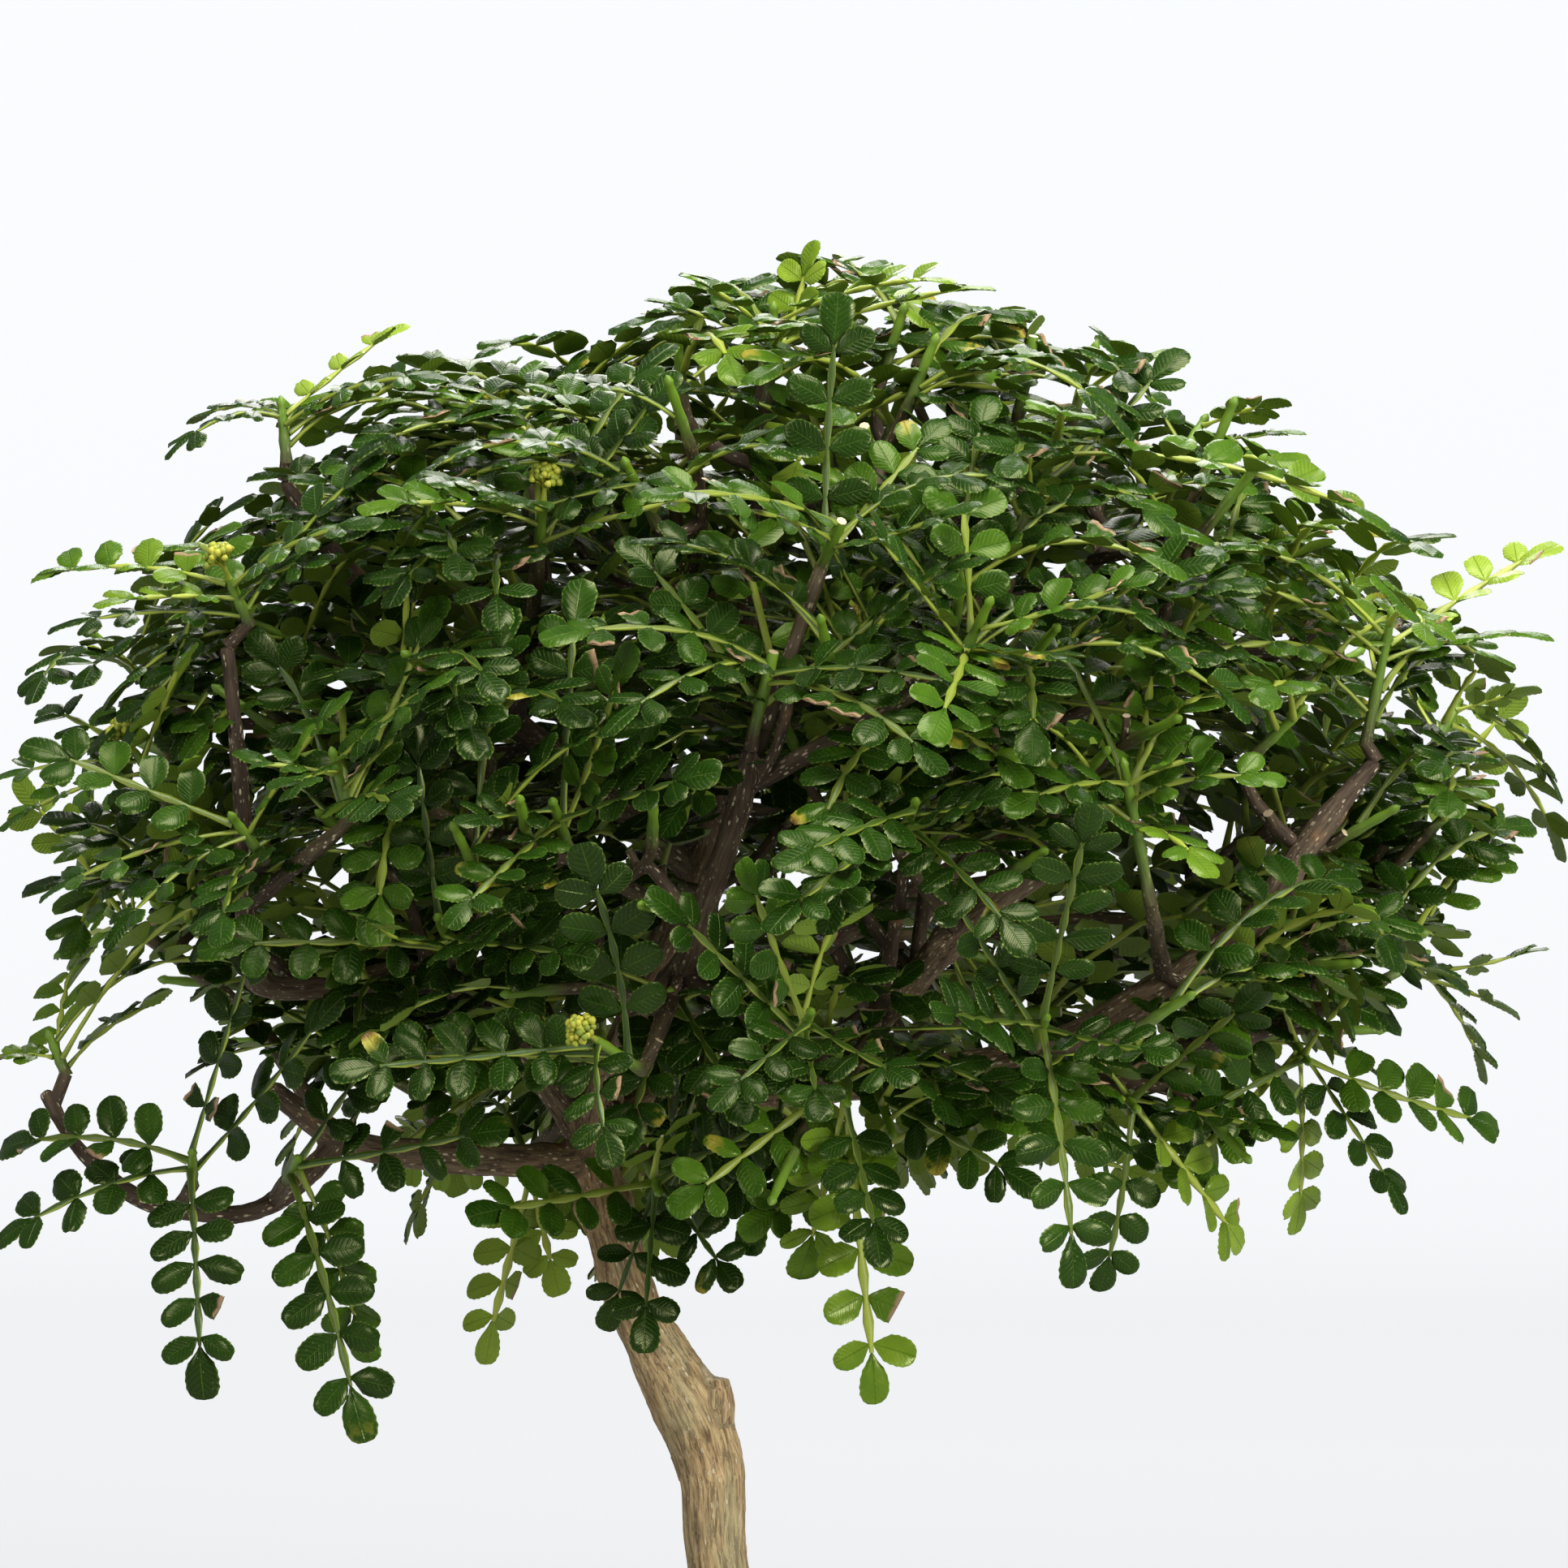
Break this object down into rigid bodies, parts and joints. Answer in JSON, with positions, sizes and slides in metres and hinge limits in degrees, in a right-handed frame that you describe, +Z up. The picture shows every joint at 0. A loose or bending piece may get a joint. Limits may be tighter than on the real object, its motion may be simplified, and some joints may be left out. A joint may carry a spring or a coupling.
{
  "type": "chinese pepper bonsai",
  "caption": "Potted chinese pepper bonsai: a slim bent trunk, spreading limbs and a wide domed crown of glossy pinnate leaves over a plain footed clay pot.",
  "frame": {"origin": "centre of the bounding box on the ground plane, under the pot", "axes": "+Z up, -Y the front of the tree, +X to the viewer's right"},
  "size_m": [0.3077, 0.2858, 0.3707],
  "materials": {
    "buds": "matte",
    "pot": "matte",
    "soil": "matte",
    "leaf_mature": "satin",
    "leaf_mixed": "satin",
    "leaf_young": "satin",
    "bark": "matte"
  },
  "bodies": {
    "root": {"buds_front_left": "buds", "buds_left_edge": "buds", "buds_left_high": "buds", "buds_top_mid_left": "buds", "buds_upper_left": "buds", "pot": "pot", "soil": "soil", "spray_back_left_high": "leaf_mature", "spray_back_left_low": "leaf_mixed", "spray_back_low": "leaf_mature", "spray_back_low_left": "leaf_mature", "spray_back_low_right": "leaf_mature", "spray_back_mid": "leaf_mature", "spray_back_mid_left": "leaf_mature", "spray_back_mid_right": "leaf_mixed", "spray_back_right_high": "leaf_mixed", "spray_back_right_low": "leaf_mature", "spray_back_top": "leaf_mixed", "spray_back_top_left": "leaf_mixed", "spray_back_top_right": "leaf_mature", "spray_crown_top": "leaf_young", "spray_drop_back": "leaf_young", "spray_far_left": "leaf_young", "spray_front_centre": "leaf_mature", "spray_front_left": "leaf_mature", "spray_front_low_left": "leaf_mature", "spray_front_mid": "leaf_mature", "spray_front_mid_left": "leaf_mature", "spray_front_mid_right": "leaf_mixed", "spray_front_right": "leaf_mature", "spray_front_top": "leaf_mixed", "spray_left_back_high": "leaf_mixed", "spray_left_drop": "leaf_mature", "spray_left_drop_inner": "leaf_mature", "spray_left_edge": "leaf_mixed", "spray_left_front": "leaf_mixed", "spray_left_high": "leaf_mixed", "spray_left_low": "leaf_mature", "spray_left_side": "leaf_mixed", "spray_low_back": "leaf_mature", "spray_low_centre": "leaf_mature", "spray_low_right": "leaf_mixed", "spray_low_right_centre": "leaf_mixed", "spray_right_edge": "leaf_mixed", "spray_right_front": "leaf_young", "spray_right_low_edge": "leaf_mixed", "spray_right_low_front": "leaf_mixed", "spray_right_side": "leaf_mature", "spray_right_tip": "leaf_young", "spray_top_back": "leaf_mixed", "spray_top_left": "leaf_mixed", "spray_top_mid_left": "leaf_mixed", "spray_top_mid_right": "leaf_mixed", "spray_top_right": "leaf_mixed", "spray_top_right_edge": "leaf_mixed", "spray_upper_front": "leaf_mixed", "spray_upper_left": "leaf_mature", "wood": "bark"}
  },
  "joints": []
}
